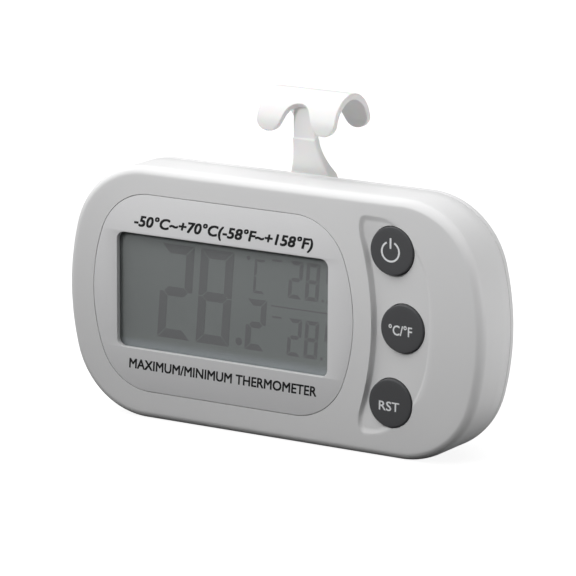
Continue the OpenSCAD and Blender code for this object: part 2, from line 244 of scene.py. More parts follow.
PANEL_INK = finish("panel ink", (0.012, 0.012, 0.013), (0.008, 0.008, 0.009), 0.45)
print("made the plastics, rubbers and inks")

# %% Metals, epoxy and display films
STEEL = finish("steel", (0.55, 0.55, 0.56), (0.48, 0.48, 0.49), 0.3, grain=900.0, bump=0.08,
               stretch=(1, 12, 1), Metallic=1.0)
NICKEL = finish("nickel plate", (0.72, 0.71, 0.68), (0.64, 0.63, 0.60), 0.2, bump=0.03,
                Metallic=1.0)
GOLD = finish("gold plate", (0.85, 0.60, 0.25), (0.78, 0.53, 0.2), 0.25, bump=0.03, Metallic=1.0)
EPOXY = finish("chip epoxy", (0.012, 0.012, 0.012), (0.02, 0.02, 0.02), 0.2, bump=0.2, grain=700.0)
DISPLAY_GLASS = finish("display glass", (0.32, 0.36, 0.34), (0.30, 0.34, 0.32), 0.06, spread=0.02,
                       bump=0.0)
SEGMENT_INK = finish("segment tone", (0.125, 0.125, 0.126), (0.115, 0.115, 0.116), 0.35, bump=0.0)
CLEAR = finish("clear lens", (0.9, 0.95, 0.97), (0.88, 0.93, 0.95), 0.08, spread=0.03, bump=0.0,
               alpha=0.06)
print("made the metals, epoxy, glass and display tones")

# %% [markdown]
# The display film is greenish grey. A paler, bluer strip along its lower edge is painted light, not a
# change in the film. A ramp along the piece's own height gives that.

# %% Display film
def display_film():
    made = finish("display film", (0.192, 0.205, 0.200), (0.178, 0.192, 0.186), 0.3, bump=0.01)
    tree = made.node_tree
    shader = tree.nodes["Principled BSDF"]
    low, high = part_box("window_lens")
    where = node(tree, "ShaderNodeTexCoord")
    split = node(tree, "ShaderNodeSeparateXYZ")
    # painted light: the ramp lightens and blues the film towards its lower edge
    strip = node(tree, "ShaderNodeMapRange", interpolation_type="SMOOTHSTEP",
                 From_Min=low.z + 2.6 * MM, From_Max=low.z + 0.8 * MM)
    pale = node(tree, "ShaderNodeMix", data_type="RGBA")
    pale.inputs[7].default_value = (0.25, 0.275, 0.285, 1)
    link = linker(tree)
    plain = shader.inputs["Base Color"].links[0].from_socket
    link(where, "Object", split, "Vector")
    link(split, "Z", strip, "Value")
    link(strip, "Result", pale, "Factor")
    tree.links.new(plain, pale.inputs[6])
    link(pale, 2, shader, "Base Color")
    return made


DISPLAY_FILM = display_film()
print("made", DISPLAY_FILM.name)

# %% [markdown]
# The circuit board is green solder mask over copper. A brick pattern stands in for the tracks:
# its mortar lines are slightly paler, as tracks under the mask are.

# %% Circuit board
def board_finish():
    made = finish("circuit board", (0.016, 0.13, 0.05), (0.012, 0.10, 0.04), 0.28, bump=0.05)
    tree = made.node_tree
    shader = tree.nodes["Principled BSDF"]
    where = node(tree, "ShaderNodeTexCoord")
    turn = node(tree, "ShaderNodeMapping", Rotation=(math.pi / 2, 0, 0))
    tracks = node(tree, "ShaderNodeTexBrick", Scale=400.0, Color1=(0.014, 0.12, 0.045, 1),
                  Color2=(0.016, 0.13, 0.05, 1), Mortar=(0.05, 0.24, 0.08, 1), Mortar_Size=0.06)
    link = linker(tree)
    link(where, "Object", turn, "Vector")
    link(turn, "Vector", tracks, "Vector")
    link(tracks, "Color", shader, "Base Color")
    return made


BOARD = board_finish()
print("made", BOARD.name)

# %% [markdown]
# ## Mesh helpers
# Most pieces are closed meshes that are built from rings or cut from one another. These helpers
# make a mesh from points, mark the edges that should stay crisp, and subtract tools from a piece.

# %% Make, shade and clean a mesh
CRISP = math.radians(32)


def add_object(name, data):
    made = bpy.data.objects.new(name, data)
    bpy.context.scene.collection.objects.link(made)
    return made


def curve_mesh(name, curve):
    source = add_object(name, curve)
    graph = bpy.context.evaluated_depsgraph_get()
    mesh = bpy.data.meshes.new_from_object(source.evaluated_get(graph), depsgraph=graph)
    bpy.data.objects.remove(source)
    return mesh


def close(mesh, reach):
    """Merges points nearer than the reach, in metres, and turns every face outwards."""
    work = bmesh.new()
    work.from_mesh(mesh)
    bmesh.ops.remove_doubles(work, verts=work.verts, dist=reach)
    bmesh.ops.recalc_face_normals(work, faces=work.faces)
    work.to_mesh(mesh)
    work.free()


def mesh_object(name, points, faces, material, recalc=True):
    mesh = bpy.data.meshes.new(name)
    mesh.from_pydata([tuple(p) for p in points], [], faces)
    if recalc:
        close(mesh, 1e-7)
    mesh.materials.append(material)
    return add_object(name, mesh)


def shade(piece, limit=CRISP):
    work = bmesh.new()
    work.from_mesh(piece.data)
    for face in work.faces:
        face.smooth = True
    for edge in work.edges:
        edge.smooth = len(edge.link_faces) == 2 and edge.calc_face_angle(0) < limit
    work.to_mesh(piece.data)
    work.free()
    return piece


def bake_modifiers(piece):
    graph = bpy.context.evaluated_depsgraph_get()
    solid = bpy.data.meshes.new_from_object(piece.evaluated_get(graph), depsgraph=graph)
    solid.name = piece.name
    piece.modifiers.clear()
    piece.data = solid
    return piece


def cut(piece, tools, operation="DIFFERENCE"):
    """Subtracts the tools from the piece, or unites them with it, and removes them."""
    shelf = bpy.data.collections.new(piece.name + " tools")
    bpy.context.scene.collection.children.link(shelf)
    for tool in tools:
        bpy.context.scene.collection.objects.unlink(tool)
        shelf.objects.link(tool)
    step = piece.modifiers.new("cut", "BOOLEAN")
    step.operation = operation
    step.operand_type = "COLLECTION"
    step.collection = shelf
    step.solver = "EXACT"
    bake_modifiers(piece)
    for tool in tools:
        bpy.data.objects.remove(tool)
    bpy.data.collections.remove(shelf)
    material = piece.data.materials[0]
    piece.data.materials.clear()
    piece.data.materials.append(material)
    for face in piece.data.polygons:
        face.material_index = 0
    return piece


# %% [markdown]
# A loft stacks rings of equally many points. The same helper makes lathed pieces, because a
# lathe is a loft of circles. Both ends are closed with one flat face.

# %% Lofts and lathes
def loft(name, rings, material):
    count = len(rings[0])
    points = [p for ring in rings for p in ring]
    faces = []
    for k in range(len(rings) - 1):
        for i in range(count):
            j = (i + 1) % count
            faces.append((k * count + i, k * count + j, (k + 1) * count + j, (k + 1) * count + i))
    faces.append(tuple(range(count)))
    faces.append(tuple((len(rings) - 1) * count + i for i in range(count)))
    return mesh_object(name, points, faces, material)


def lathe(name, x, z, profile, material, sides=96):
    """Turns a profile of (radius, depth) pairs about the line through x, z along the depth."""
    rings = []
    for radius, depth in profile:
        ring = []
        for k in range(sides):
            angle = 2 * math.pi * k / sides
            ring.append(place(x + radius * math.cos(angle), depth, z + radius * math.sin(angle)))
        rings.append(ring)
    return loft(name, rings, material)


def arc(cx, cy, radius, start, stop, steps):
    """Points on an arc, angles in degrees."""
    points = []
    for k in range(steps + 1):
        angle = math.radians(start + (stop - start) * k / steps)
        points.append((cx + radius * math.cos(angle), cy + radius * math.sin(angle)))
    return points


# %% [markdown]
# ## The case outline
# Seen from the front the case is a rectangle whose short sides bulge and whose corners are wide
# arcs. An outline that is moved inward by some inset keeps the same arc centres, so rings of any
# inset match point for point and can be lofted.

# %% Outline of bulged sides
SIDE_R = 46.0
CORNER_R = 15.4


def bulged(half_w, half_h, side_r, corner_r, fine=(12, 10, 10)):
    """Points round a bulged rectangle, anticlockwise; the steps are a corner's, a side's, the top's."""
    tilt = math.degrees(math.asin((half_h - corner_r) / (side_r - corner_r)))
    cx = half_w - side_r + (side_r - corner_r) * math.cos(math.radians(tilt))
    cz = half_h - corner_r

    def half(corner_n, side_n):
        points = arc(cx, -cz, corner_r, -90, -tilt, corner_n)
        points += arc(half_w - side_r, 0, side_r, -tilt, tilt, side_n)[1:-1]
        return points + arc(cx, cz, corner_r, tilt, 90, corner_n)

    top_n = fine[2]
    top = [(cx - 2 * cx * k / top_n, half_h) for k in range(1, top_n)]
    right = half(*fine[:2])
    return right + top + [(-x, z) for x, z in reversed(right)] + [(-x, -z) for x, z in top]


def case_ring(inset, depth, fine=(12, 10, 10)):
    outline = bulged(HALF_W - inset, HALF_H - inset, SIDE_R - inset, CORNER_R - inset, fine)
    return [place(x, depth, z) for x, z in outline]


print("points on a coarse ring:", len(case_ring(0, 0)))

# %% [markdown]
# ## The front shell
# The front is a loft: a rounded edge all round and rings that close on the middle of the face.
# A shallow crescent pocket surrounds the keys, between two arcs. It is deepest on its left and
# fades to its right and towards its ends. A formula gives its depth at every place, and a fine
# height field from that formula is the tool that cuts it. Outside the pocket the formula goes on
# rising in front of the face, so the tool leaves the face at a clear angle.

# %% Pocket depth at a place of the face
POCKET_DEPTH = 1.1
POCKET_LEFT = (-30.9, -0.1, 51.75)
POCKET_RIGHT = (-13.9, 1.85, 46.9)
POCKET_HALF_H = 19.6


def rounded_min(a, b, radius):
    """The smaller distance, with the corner between the two rounded."""
    if a < radius and b < radius:
        return radius - math.hypot(radius - a, radius - b)
    return min(a, b)


def smooth(t):
    t = max(0.0, min(1.0, t))
    return t * t * (3 - 2 * t)


def pocket_depth(x, z):
    left = math.hypot(x - POCKET_LEFT[0], z - POCKET_LEFT[1]) - POCKET_LEFT[2]
    right = POCKET_RIGHT[2] - math.hypot(x - POCKET_RIGHT[0], z - POCKET_RIGHT[1])
    ends = POCKET_HALF_H - abs(z - 0.2)
    inside = rounded_min(left, rounded_min(right, 0.5 * ends, 6.5), 2.4)
    floor = 0.1 + (POCKET_DEPTH - 0.1) * smooth((right + 0.5) / 13.0)
    floor *= 0.35 + 0.65 * smooth(ends / 8.0)
    run = (inside + 0.1) / 0.75
    if run < 0:
        return max(-0.3, run - 0.06)
    return (floor + 0.06) * smooth(run) - 0.06


def pocket_tool(x0=15.5, x1=34.5, half_h=20.6, step=0.13):
    columns = round((x1 - x0) / step)
    rows = round(2 * half_h / step)
    points = []
    faces = []
    for i in range(columns + 1):
        x = x0 + (x1 - x0) * i / columns
        for j in range(rows + 1):
            z = half_h * (2 * j / rows - 1)
            points.append(place(x, pocket_depth(x, z), z))
    for i in range(columns):
        for j in range(rows):
            a = i * (rows + 1) + j
            faces.append((a, a + 1, a + rows + 2, a + rows + 1))
    rim = [i * (rows + 1) for i in range(columns + 1)]
    rim += [columns * (rows + 1) + j for j in range(1, rows + 1)]
    rim += [i * (rows + 1) + rows for i in range(columns - 1, -1, -1)]
    rim += list(range(rows - 1, 0, -1))
    first = len(points)
    for k in rim:
        x = (points[k].x - ORIGIN.x) / MM
        z = (points[k].z - ORIGIN.z) / MM
        points.append(place(x, -2, z))
    count = len(rim)
    for k in range(count):
        n = (k + 1) % count
        faces.append((rim[k], rim[n], first + n, first + k))
    faces.append(tuple(range(first, first + count)))
    return mesh_object("pocket", points, faces, CASE_PLASTIC)


print("pocket depth at the left and right, mm:",
      round(pocket_depth(23, 7), 2), round(pocket_depth(32, 2), 2))

# %% Rings of the front shell
EDGE_IN = 1.5
EDGE_DEEP = 1.8
SHELL_FINE = (36, 36, 44)
FACE_RINGS = 24
STEADY_INSET = 9.0


def front_rings():
    rings = [case_ring(0.06, PART_Y, SHELL_FINE), case_ring(0.02, PART_Y - 0.08, SHELL_FINE)]
    rings += [case_ring(0.01, 7.0, SHELL_FINE), case_ring(0.0, EDGE_DEEP + 0.6, SHELL_FINE)]
    steps = 14
    for k in range(steps + 1):
        angle = math.pi / 2 * k / steps
        rings.append(case_ring(EDGE_IN * (1 - math.cos(angle)), EDGE_DEEP * (1 - math.sin(angle)),
                               SHELL_FINE))
    inset = EDGE_IN
    while inset < STEADY_INSET - 0.1:
        inset += 0.61
        rings.append(case_ring(inset, 0, SHELL_FINE))
    last = rings[-1]
    centre = place(0, 0, 0)
    for k in range(1, FACE_RINGS):
        rings.append([centre + (p - centre) * (1 - k / FACE_RINGS) for p in last])
    return rings


front = loft("front_case", front_rings(), CASE_PLASTIC)
print("front shell before cutting:", len(front.data.polygons), "faces")

# %% [markdown]
# The other cutting tools are simple closed solids: a plate for the panel's seat, a block for the
# display's opening, one rod for each key and a coarse inner body that leaves the wall.

# %% Flat tools and the shell's hollow
PANEL_SIDE_R = 32.0
PANEL_CORNER_R = 10.6
panel_low, panel_high = box_mm("label_panel")
panel_mid = (panel_low + panel_high) / 2
PANEL_HALF_W = (panel_high.x - panel_low.x) / 2
PANEL_HALF_H = (panel_high.z - panel_low.z) / 2
PANEL_T = panel_high.y - panel_low.y
WALL = 1.6
GAP = 0.13


def panel_outline(inset, fine=(28, 40, 12)):
    points = bulged(PANEL_HALF_W - inset, PANEL_HALF_H - inset, PANEL_SIDE_R - inset,
                    PANEL_CORNER_R - inset, fine)
    return [(x + panel_mid.x, z + panel_mid.z) for x, z in points]


def prism(name, outline, y0, y1, material=CASE_PLASTIC):
    return loft(name, [[place(x, y, z) for x, z in outline] for y in (y0, y1)], material)


def rounded_rect(cx, cz, half_w, half_h, radius, steps=8):
    points = []
    for sx, sz, start in ((1, -1, -90), (1, 1, 0), (-1, 1, 90), (-1, -1, 180)):
        points += arc(cx + sx * (half_w - radius), cz + sz * (half_h - radius), radius,
                      start, start + 90, steps)
    return points


KEY_R = 4.28
KEY_PLAY = 0.16
KEYS = {name: middle("key_" + name) for name in ("power", "units", "reset")}
lens_low, lens_high = box_mm("window_lens")
lens_mid = (lens_low + lens_high) / 2
lens_half = (lens_high - lens_low) / 2
hollow_rings = [case_ring(EDGE_IN + 0.8, WALL + 0.75), case_ring(WALL + 0.2, EDGE_DEEP + 0.8),
                case_ring(WALL + 0.2, PART_Y + 1)]
hollow = loft("hollow", hollow_rings, CASE_PLASTIC)
tools = [hollow, pocket_tool(), prism("seat", panel_outline(-GAP), -2, PANEL_T)]
opening = rounded_rect(lens_mid.x, lens_mid.z, lens_half.x + 0.2, lens_half.z + 0.2, 1.2)
tools.append(prism("opening", opening, -2, 4))
for spot in KEYS.values():
    tools.append(lathe("key hole", spot.x, spot.z, [(KEY_R + KEY_PLAY, -2), (KEY_R + KEY_PLAY, 4)],
                       CASE_PLASTIC, 128))
cut(front, tools)
shade(front)
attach(front, "case")
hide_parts("front_shell")
print("front shell after cutting:", len(front.data.polygons), "faces")

# %% [markdown]
# ## The rear cover
# Behind the parting line the cover keeps the full outline as a narrow rim, then the back tapers
# in to the flat magnet face. It is a plain loft, and the bays, seats and pockets are cut into it.
# The battery door's lugs enter through three notches and turn in a groove inside the well.

# %% Cutting blocks and rods
hinge = next(j for j in frame["joints"] if j["name"] == "hook_fold")
hinge_at = (Vector(hinge["pos_m"]) - ORIGIN) / MM
cell = middle("coin_cell")


def block(x0, x1, y0, y1, z0, z1):
    return prism("block", [(x0, z0), (x1, z0), (x1, z1), (x0, z1)], y0, y1)


def soft_block(x0, x1, y0, y1, z0, z1, radius):
    outline = rounded_rect((x0 + x1) / 2, (z0 + z1) / 2, (x1 - x0) / 2, (z1 - z0) / 2, radius)
    return prism("soft block", outline, y0, y1)


def rod(x, z, radius, y0, y1, sides=72):
    return lathe("rod", x, z, [(radius, y0), (radius, y1)], CASE_PLASTIC, sides)


def spoke(angle, length, half_w, y0, y1):
    """A block from the cell's axis outward at an angle in degrees."""
    turn = math.radians(angle)
    outline = [(cell.x + run * math.cos(turn) - side * math.sin(turn),
                run * math.sin(turn) + side * math.cos(turn))
               for run, side in ((0, -half_w), (length, -half_w), (length, half_w), (0, half_w))]
    return prism("spoke", outline, y0, y1)


# %% Body of the rear cover
RIM_Y = 11.4
COVER_FINE = (26, 26, 12)
SHOULDER_INSET = 6.0
SHOULDER_IN = 2.0
SHOULDER_DEEP = 1.2
TAPER = [(0.05, PART_Y + 0.03), (0.0, PART_Y + 0.1), (0.0, RIM_Y - 0.75), (0.06, RIM_Y - 0.4),
         (0.2, RIM_Y - 0.15), (0.45, RIM_Y + 0.1)]


def cover_rings():
    rings = [case_ring(inset, depth, COVER_FINE) for inset, depth in TAPER]
    shoulder = arc(0, 0, 1.0, 0, 90, 8)
    for x, y in shoulder:
        rings.append(case_ring(SHOULDER_INSET + SHOULDER_IN * (1 - x),
                               BACK_Y - SHOULDER_DEEP + SHOULDER_DEEP * y, COVER_FINE))
    return rings


magnet_low, magnet_high = box_mm("magnets")
MAGNET_R = (magnet_high.x - magnet_low.x) / 2
magnet_x = (magnet_low.x + magnet_high.x) / 2
magnet_zs = (magnet_low.z + MAGNET_R, magnet_high.z - MAGNET_R)
SCREW_R = 1.9
SEAT_Y = 12.4
SCREWS = [(-27.5, 15.3), (-27.5, -15.3), (32.2, 12.6), (32.2, -12.6)]
BAY_X = 9.2
BAY_LOW = -2.6
NEST_Y = 7.5
NEST_TOP = 6.6
WELL_R = 10.4
WELL_Y = BACK_Y - 6.45
DOOR_R = 11.6
DOOR_Y = BACK_Y - 2.45
LUG_R = 12.1
LUG_Y = BACK_Y - 1.8
LUG_T = 0.8
NOTCHES = (-90, 30, 150)
LUGS = (-45, 75, 195)
BEHIND = 26
cover = loft("rear_case", cover_rings(), CASE_PLASTIC)
nest = block(-BAY_X - 1.2, BAY_X + 1.2, NEST_Y - 0.8, RIM_Y, BAY_LOW - 1.2, NEST_TOP + 1.2)
cut(cover, [nest], "UNION")
print("rear cover before cutting:", len(cover.data.polygons), "faces")

# %% [markdown]
# The cover's hollow has to leave walls round the hook bay, the cell and the magnets. So the
# hollow is a body of its own, from which those walls are cut first.

# %% Cut the rear cover
inner = loft("inner", [case_ring(WALL + 0.2, PART_Y - 1), case_ring(WALL + 0.2, PART_Y + 1),
                       case_ring(8.2, BACK_Y - WALL)], CASE_PLASTIC)
walls = [block(-BAY_X - 1.4, BAY_X + 1.4, 10.5, 24, BAY_LOW - 1.4, 30)]
walls.append(block(-BAY_X - 1.3, BAY_X + 1.3, 0, 24, BAY_LOW - 1.3, NEST_TOP + 1.4))
walls.append(rod(cell.x, 0, 13.3, WELL_Y - 1.2, 24))
for z in magnet_zs:
    walls.append(rod(magnet_x, z, MAGNET_R + 1.3, magnet_low.y - 1.4, 24))
for x, z in SCREWS:
    walls.append(rod(x, z, 3.1, 0, 24))
cut(inner, walls)
tools = [inner]
tools.append(soft_block(-BAY_X, BAY_X, RIM_Y + 0.1, BEHIND, BAY_LOW, 30, 1.0))
tools.append(soft_block(-BAY_X + 0.01, BAY_X - 0.01, NEST_Y, BEHIND, BAY_LOW + 0.01, NEST_TOP,
                        1.0))
tools.append(rod(cell.x, 0, WELL_R, WELL_Y, BEHIND, 96))
tools.append(rod(cell.x, 0, DOOR_R, DOOR_Y, BEHIND, 128))
tools.append(rod(cell.x, 0, LUG_R + 0.2, LUG_Y - 0.1, LUG_Y + LUG_T + 0.1, 96))
tools += [spoke(angle, LUG_R + 0.2, 2.8, LUG_Y, BEHIND) for angle in NOTCHES]
for x, z in SCREWS:
    tools.append(rod(x, z, SCREW_R + 0.2, SEAT_Y, BEHIND, 64))
for z in magnet_zs:
    tools.append(rod(magnet_x, z, MAGNET_R + 0.1, magnet_low.y - 0.05, BEHIND, 96))
cut(cover, tools)
shade(cover)
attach(cover, "case")
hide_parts("rear_cover")
print("rear cover after cutting:", len(cover.data.polygons), "faces")

# %% [markdown]
# ## The printed panel
# A flat plate with a window is easiest as a filled curve with two loops: the curve's extrusion
# gives the thickness and its bevel gives the small rounding that every moulded edge has. The
# curve is turned into a mesh before it is put in place. The window's middle is a hair off the
# lens's own, so that its edges lie where the real ones do.

# %% Flat pieces from closed loops
FACE_ON = Matrix.Rotation(math.pi / 2, 4, "X")


def flat_piece(name, loops, y0, y1, bevel, material):
    """A plate between the depths y0 and y1, from closed loops of (x, z) in mm."""
    curve = bpy.data.curves.new(name, "CURVE")
    curve.dimensions = "2D"
    curve.fill_mode = "BOTH"
    curve.extrude = (y1 - y0) / 2 - bevel
    curve.bevel_depth = bevel
    curve.bevel_resolution = 2
    curve.offset = -bevel
    for points in loops:
        spline = curve.splines.new("POLY")
        spline.points.add(len(points) - 1)
        for k, (x, z) in enumerate(points):
            spline.points[k].co = (x, z, 0, 1)
        spline.use_cyclic_u = True
    mesh = curve_mesh(name, curve)
    mesh.transform(Matrix.Diagonal((MM, MM, MM, 1)))
    mesh.transform(FACE_ON)
    mesh.transform(Matrix.Translation(place(0, (y0 + y1) / 2, 0)))
    close(mesh, 1e-6)
    mesh.materials.clear()
    mesh.materials.append(material)
    return add_object(name, mesh)


# %% Panel with its window
VIEW_X = lens_mid.x + 0.15
VIEW_Z = lens_mid.z + 0.14
VIEW_HALF_W = lens_half.x - 1.8
VIEW_HALF_H = lens_half.z - 0.42
VIEW_CORNER_R = 1.5
PANEL_BEVEL = 0.03
window = rounded_rect(VIEW_X, VIEW_Z, VIEW_HALF_W, VIEW_HALF_H, VIEW_CORNER_R)
panel = flat_piece("printed_panel", [panel_outline(0), window], 0, PANEL_T, PANEL_BEVEL,
                   PANEL_PLASTIC)
shade(panel)
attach(panel, "case")
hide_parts("label_panel")
print("panel faces:", len(panel.data.polygons))

# %% [markdown]
# ## Lettering
# The print on the panel is the measuring range and a plain description in slim capitals. A text
# object is turned into a mesh, scaled so that its capitals have the right height and its line
# the right length, and laid on the surface as a film a few hundredths of a millimetre thick.

# %% Text as a thin film
def text_mesh(body, slant):
    curve = bpy.data.curves.new("words", "FONT")
    curve.body = body
    curve.size = 10
    curve.shear = slant
    curve.extrude = 0.5
    curve.resolution_u = 3
    return curve_mesh("words", curve)


def span(mesh, axis):
    values = [v.co[axis] for v in mesh.vertices]
    return min(values), max(values)


def lettering(name, body, centre_x, base_z, length, capital, depth, material, slant=0.0,
              bold=0.0, film=0.03):
    """Letters on the face; copies shifted by the boldness make the strokes heavier."""
    flat = text_mesh(body, slant)
    left, right = span(flat, 0)
    base, top = span(text_mesh("H", 0), 1)
    wide = (length - 2 * bold) / (right - left)
    tall = (capital - 2 * bold) / (top - base)
    shifts = [(0, 0)]
    if bold:
        shifts += [(-bold, -bold), (bold, -bold), (bold, bold), (-bold, bold)]
    words = bmesh.new()
    for k, (dx, dz) in enumerate(shifts):
        copy = flat.copy()
        for v in copy.vertices:
            v.co = place(centre_x + dx + (v.co.x - (left + right) / 2) * wide,
                         depth - (film + 0.002 * k) * v.co.z,
                         base_z + bold + dz + (v.co.y - base) * tall)
        words.from_mesh(copy)
    bmesh.ops.remove_doubles(words, verts=words.verts, dist=1e-7)
    bmesh.ops.recalc_face_normals(words, faces=words.faces)
    mesh = bpy.data.meshes.new(name)
    words.to_mesh(mesh)
    words.free()
    mesh.materials.append(material)
    return add_object(name, mesh)


# %% Print on the panel
range_line = lettering("range_print", "-50°C~+70°C(-58°F~+158°F)", -9.8, 12.17, 37.6, 2.0, 0.0,
                       PANEL_INK, slant=0.24, bold=0.08)
name_line = lettering("name_print", "MAXIMUM/MINIMUM THERMOMETER", -9.95, -14.03, 39.6, 1.8, 0.0,
                      PANEL_INK, slant=0.06, bold=0.05)
for line in (range_line, name_line):
    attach(line, "case")
print("letter faces:", len(range_line.data.polygons), len(name_line.data.polygons))

# %% [markdown]
# ## The keys
# Each key is a lathed rubber cap: a flat top, a soft edge, a flange that keeps it in the case and
# a stem that carries the carbon pill. The legend is a light film on top. Every legend rides with
# its own key, so a pressed key takes its legend with it.

# %% Caps and legends
key_low, key_high = box_mm("key_power")
KEY_FRONT = key_low.y
FLANGE_R = (key_high.x - key_low.x) / 2
FLANGE_Y = 1.9
STEM_R = 3.0
KEY_EDGE_IN = 0.25
KEY_EDGE_DEEP = 0.2


def key_profile():
    edge = [(KEY_R - KEY_EDGE_IN + KEY_EDGE_IN * math.cos(a),
             KEY_FRONT + KEY_EDGE_DEEP - KEY_EDGE_DEEP * math.sin(a))
            for a in [math.pi / 2 * (1 - k / 6) for k in range(7)]]
    top = [(0.01, KEY_FRONT), (1.6, KEY_FRONT), (3.3, KEY_FRONT)]
    rest = [(KEY_R, FLANGE_Y), (FLANGE_R, FLANGE_Y), (FLANGE_R, FLANGE_Y + 1),
            (STEM_R, FLANGE_Y + 1), (STEM_R, key_high.y), (0.01, key_high.y)]
    return top + edge + rest


def make_key(name):
    spot = KEYS[name]
    cap = lathe(name + "_key", spot.x, spot.z, key_profile(), KEY_RUBBER, 96)
    shade(cap)
    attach(cap, name + "_key")
    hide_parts("key_" + name)
    return cap


def legend(piece, name):
    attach(piece, name + "_key")
    return piece


for name in KEYS:
    make_key(name)
spot = KEYS["power"]
RING_R = 1.72
STROKE = 0.34
ring = (arc(spot.x - 0.2, spot.z - 0.1, RING_R + STROKE / 2, 90 + 26, 360 + 90 - 26, 40)
        + arc(spot.x - 0.2, spot.z - 0.1, RING_R - STROKE / 2, 360 + 90 - 26, 90 + 26, 40))
legend(flat_piece("power_ring", [ring], KEY_FRONT - 0.02, KEY_FRONT + 0.01, 0.0, KEY_PAINT), "power")
bar = rounded_rect(spot.x - 0.2, spot.z + 1.35, STROKE / 2, 0.95, 0.12)
legend(flat_piece("power_bar", [bar], KEY_FRONT - 0.02, KEY_FRONT + 0.01, 0.0, KEY_PAINT), "power")
spot = KEYS["units"]
legend(lettering("units_print", "°C/°F", spot.x - 0.3, spot.z - 1.2, 4.7, 1.75, KEY_FRONT,
                 KEY_PAINT, bold=0.03), "units")
spot = KEYS["reset"]
legend(lettering("reset_print", "RST", spot.x - 0.15, spot.z - 1.35, 4.1, 1.65, KEY_FRONT,
                 KEY_PAINT, bold=0.03), "reset")
print("keys at:", {name: (round(v.x, 1), round(v.z, 1)) for name, v in KEYS.items()})

# %% [markdown]
# ## The display
# A seven-segment figure has seven bars, named a to g, clockwise from the top with g in the
# middle. The bars meet in mitres with a hairline between them, and the figures lean a little to
# the right. One function gives the outline of each bar from the figure's width, height and
# stroke, so every figure of the display comes from the same few lines.

# %% Outlines of the bars
LEAN = 0.07
HAIR = 0.09
LIT = {"2": "abged", "8": "abcdefg", "C": "adef", "5": "afgcd", "4": "fgbc"}


def bar_outline(part, wide, tall, stroke):
    """Corners of one bar of a figure that is centred on the origin."""
    w = wide / 2
    h = tall / 2
    t = stroke
    flat = [(-w + HAIR, h), (w - HAIR, h), (w - t - HAIR, h - t), (-w + t + HAIR, h - t)]
    upright = [(w, h - HAIR), (w, HAIR), (w - t / 2, HAIR), (w - t, t / 2 + HAIR),
               (w - t, h - t - HAIR)]
    centre = [(-w + t / 2 + HAIR, 0), (-w + t + HAIR, t / 2), (w - t - HAIR, t / 2),
              (w - t / 2 - HAIR, 0), (w - t - HAIR, -t / 2), (-w + t + HAIR, -t / 2)]
    shapes = {
        "a": flat, "d": [(x, -z) for x, z in flat], "g": centre,
        "b": upright, "c": [(x, -z) for x, z in upright],
        "f": [(-x, z) for x, z in upright], "e": [(-x, -z) for x, z in upright],
    }
    return shapes[part]


def figure_bars(figure, x, low, wide, tall, stroke):
    for part in LIT[figure]:
        outline = bar_outline(part, wide, tall, stroke)
        yield [(x + dx + LEAN * dz, low + tall / 2 + dz) for dx, dz in outline]


def box_outline(x0, x1, z0, z1):
    return [(x0, z0), (x1, z0), (x1, z1), (x0, z1)]


FIGURES = [
    ("2", -20.45, -7.7, 6.9, 17.3, 1.7), ("8", -12.15, -7.7, 7.0, 17.3, 1.7),
    ("2", -3.55, -7.6, 4.1, 9.3, 1.15), ("C", -2.75, 2.8, 2.4, 6.2, 0.5),
    ("2", 4.7, 2.8, 2.8, 6.8, 0.72), ("8", 8.2, 2.8, 2.8, 6.8, 0.72),
    ("5", 12.3, 2.8, 2.8, 6.8, 0.6),
    ("2", 4.5, -7.6, 2.8, 6.8, 0.72), ("8", 8.0, -7.6, 2.8, 6.8, 0.72),
    ("4", 12.1, -7.6, 2.8, 6.8, 0.6),
]
outlines = [bar for figure in FIGURES for bar in figure_bars(*figure)]
outlines.append(box_outline(-0.33, 12.2, 0.85, 1.07))
outlines.append(box_outline(-0.2, 1.9, 9.0, 9.4))
outlines.append(box_outline(-0.1, 1.8, -1.2, -0.85))
outlines.append(arc(-7.1, -6.4, 0.72, 0, 330, 11))
outlines.append(arc(-5.1, 9.0, 0.4, 0, 330, 11))
outlines.append(arc(10.3, 3.1, 0.3, 0, 315, 7))
outlines.append(arc(10.1, -7.3, 0.3, 0, 315, 7))
print("shapes on the display:", len(outlines))

# %% [markdown]
# The outlines become flat faces, and a small Geometry Nodes tree extrudes them to the film's
# thickness and gives them their tone.

# %% The film tree
def film_tree():
    tree = bpy.data.node_groups.new("Film", "GeometryNodeTree")
    face = tree.interface
    face.new_socket(name="Geometry", in_out="INPUT", socket_type="NodeSocketGeometry")
    thick = face.new_socket(name="Thickness", in_out="INPUT", socket_type="NodeSocketFloat")
    paint = face.new_socket(name="Material", in_out="INPUT", socket_type="NodeSocketMaterial")
    face.new_socket(name="Geometry", in_out="OUTPUT", socket_type="NodeSocketGeometry")
    start = tree.nodes.new("NodeGroupInput")
    end = tree.nodes.new("NodeGroupOutput")
    rise = node(tree, "GeometryNodeExtrudeMesh", Individual=False)
    under = node(tree, "GeometryNodeFlipFaces")
    join = node(tree, "GeometryNodeJoinGeometry")
    weld = node(tree, "GeometryNodeMergeByDistance", Distance=1e-7)
    coat = node(tree, "GeometryNodeSetMaterial")
    link = linker(tree)
    link(start, "Geometry", rise, "Mesh")
    link(start, "Thickness", rise, "Offset Scale")
    link(start, "Geometry", under, "Mesh")
    link(under, "Mesh", join, "Geometry")
    link(rise, "Mesh", join, "Geometry")
    link(join, "Geometry", weld, "Geometry")
    link(weld, "Geometry", coat, "Geometry")
    link(start, "Material", coat, "Material")
    link(coat, "Geometry", end, "Geometry")
    return tree, thick.identifier, paint.identifier


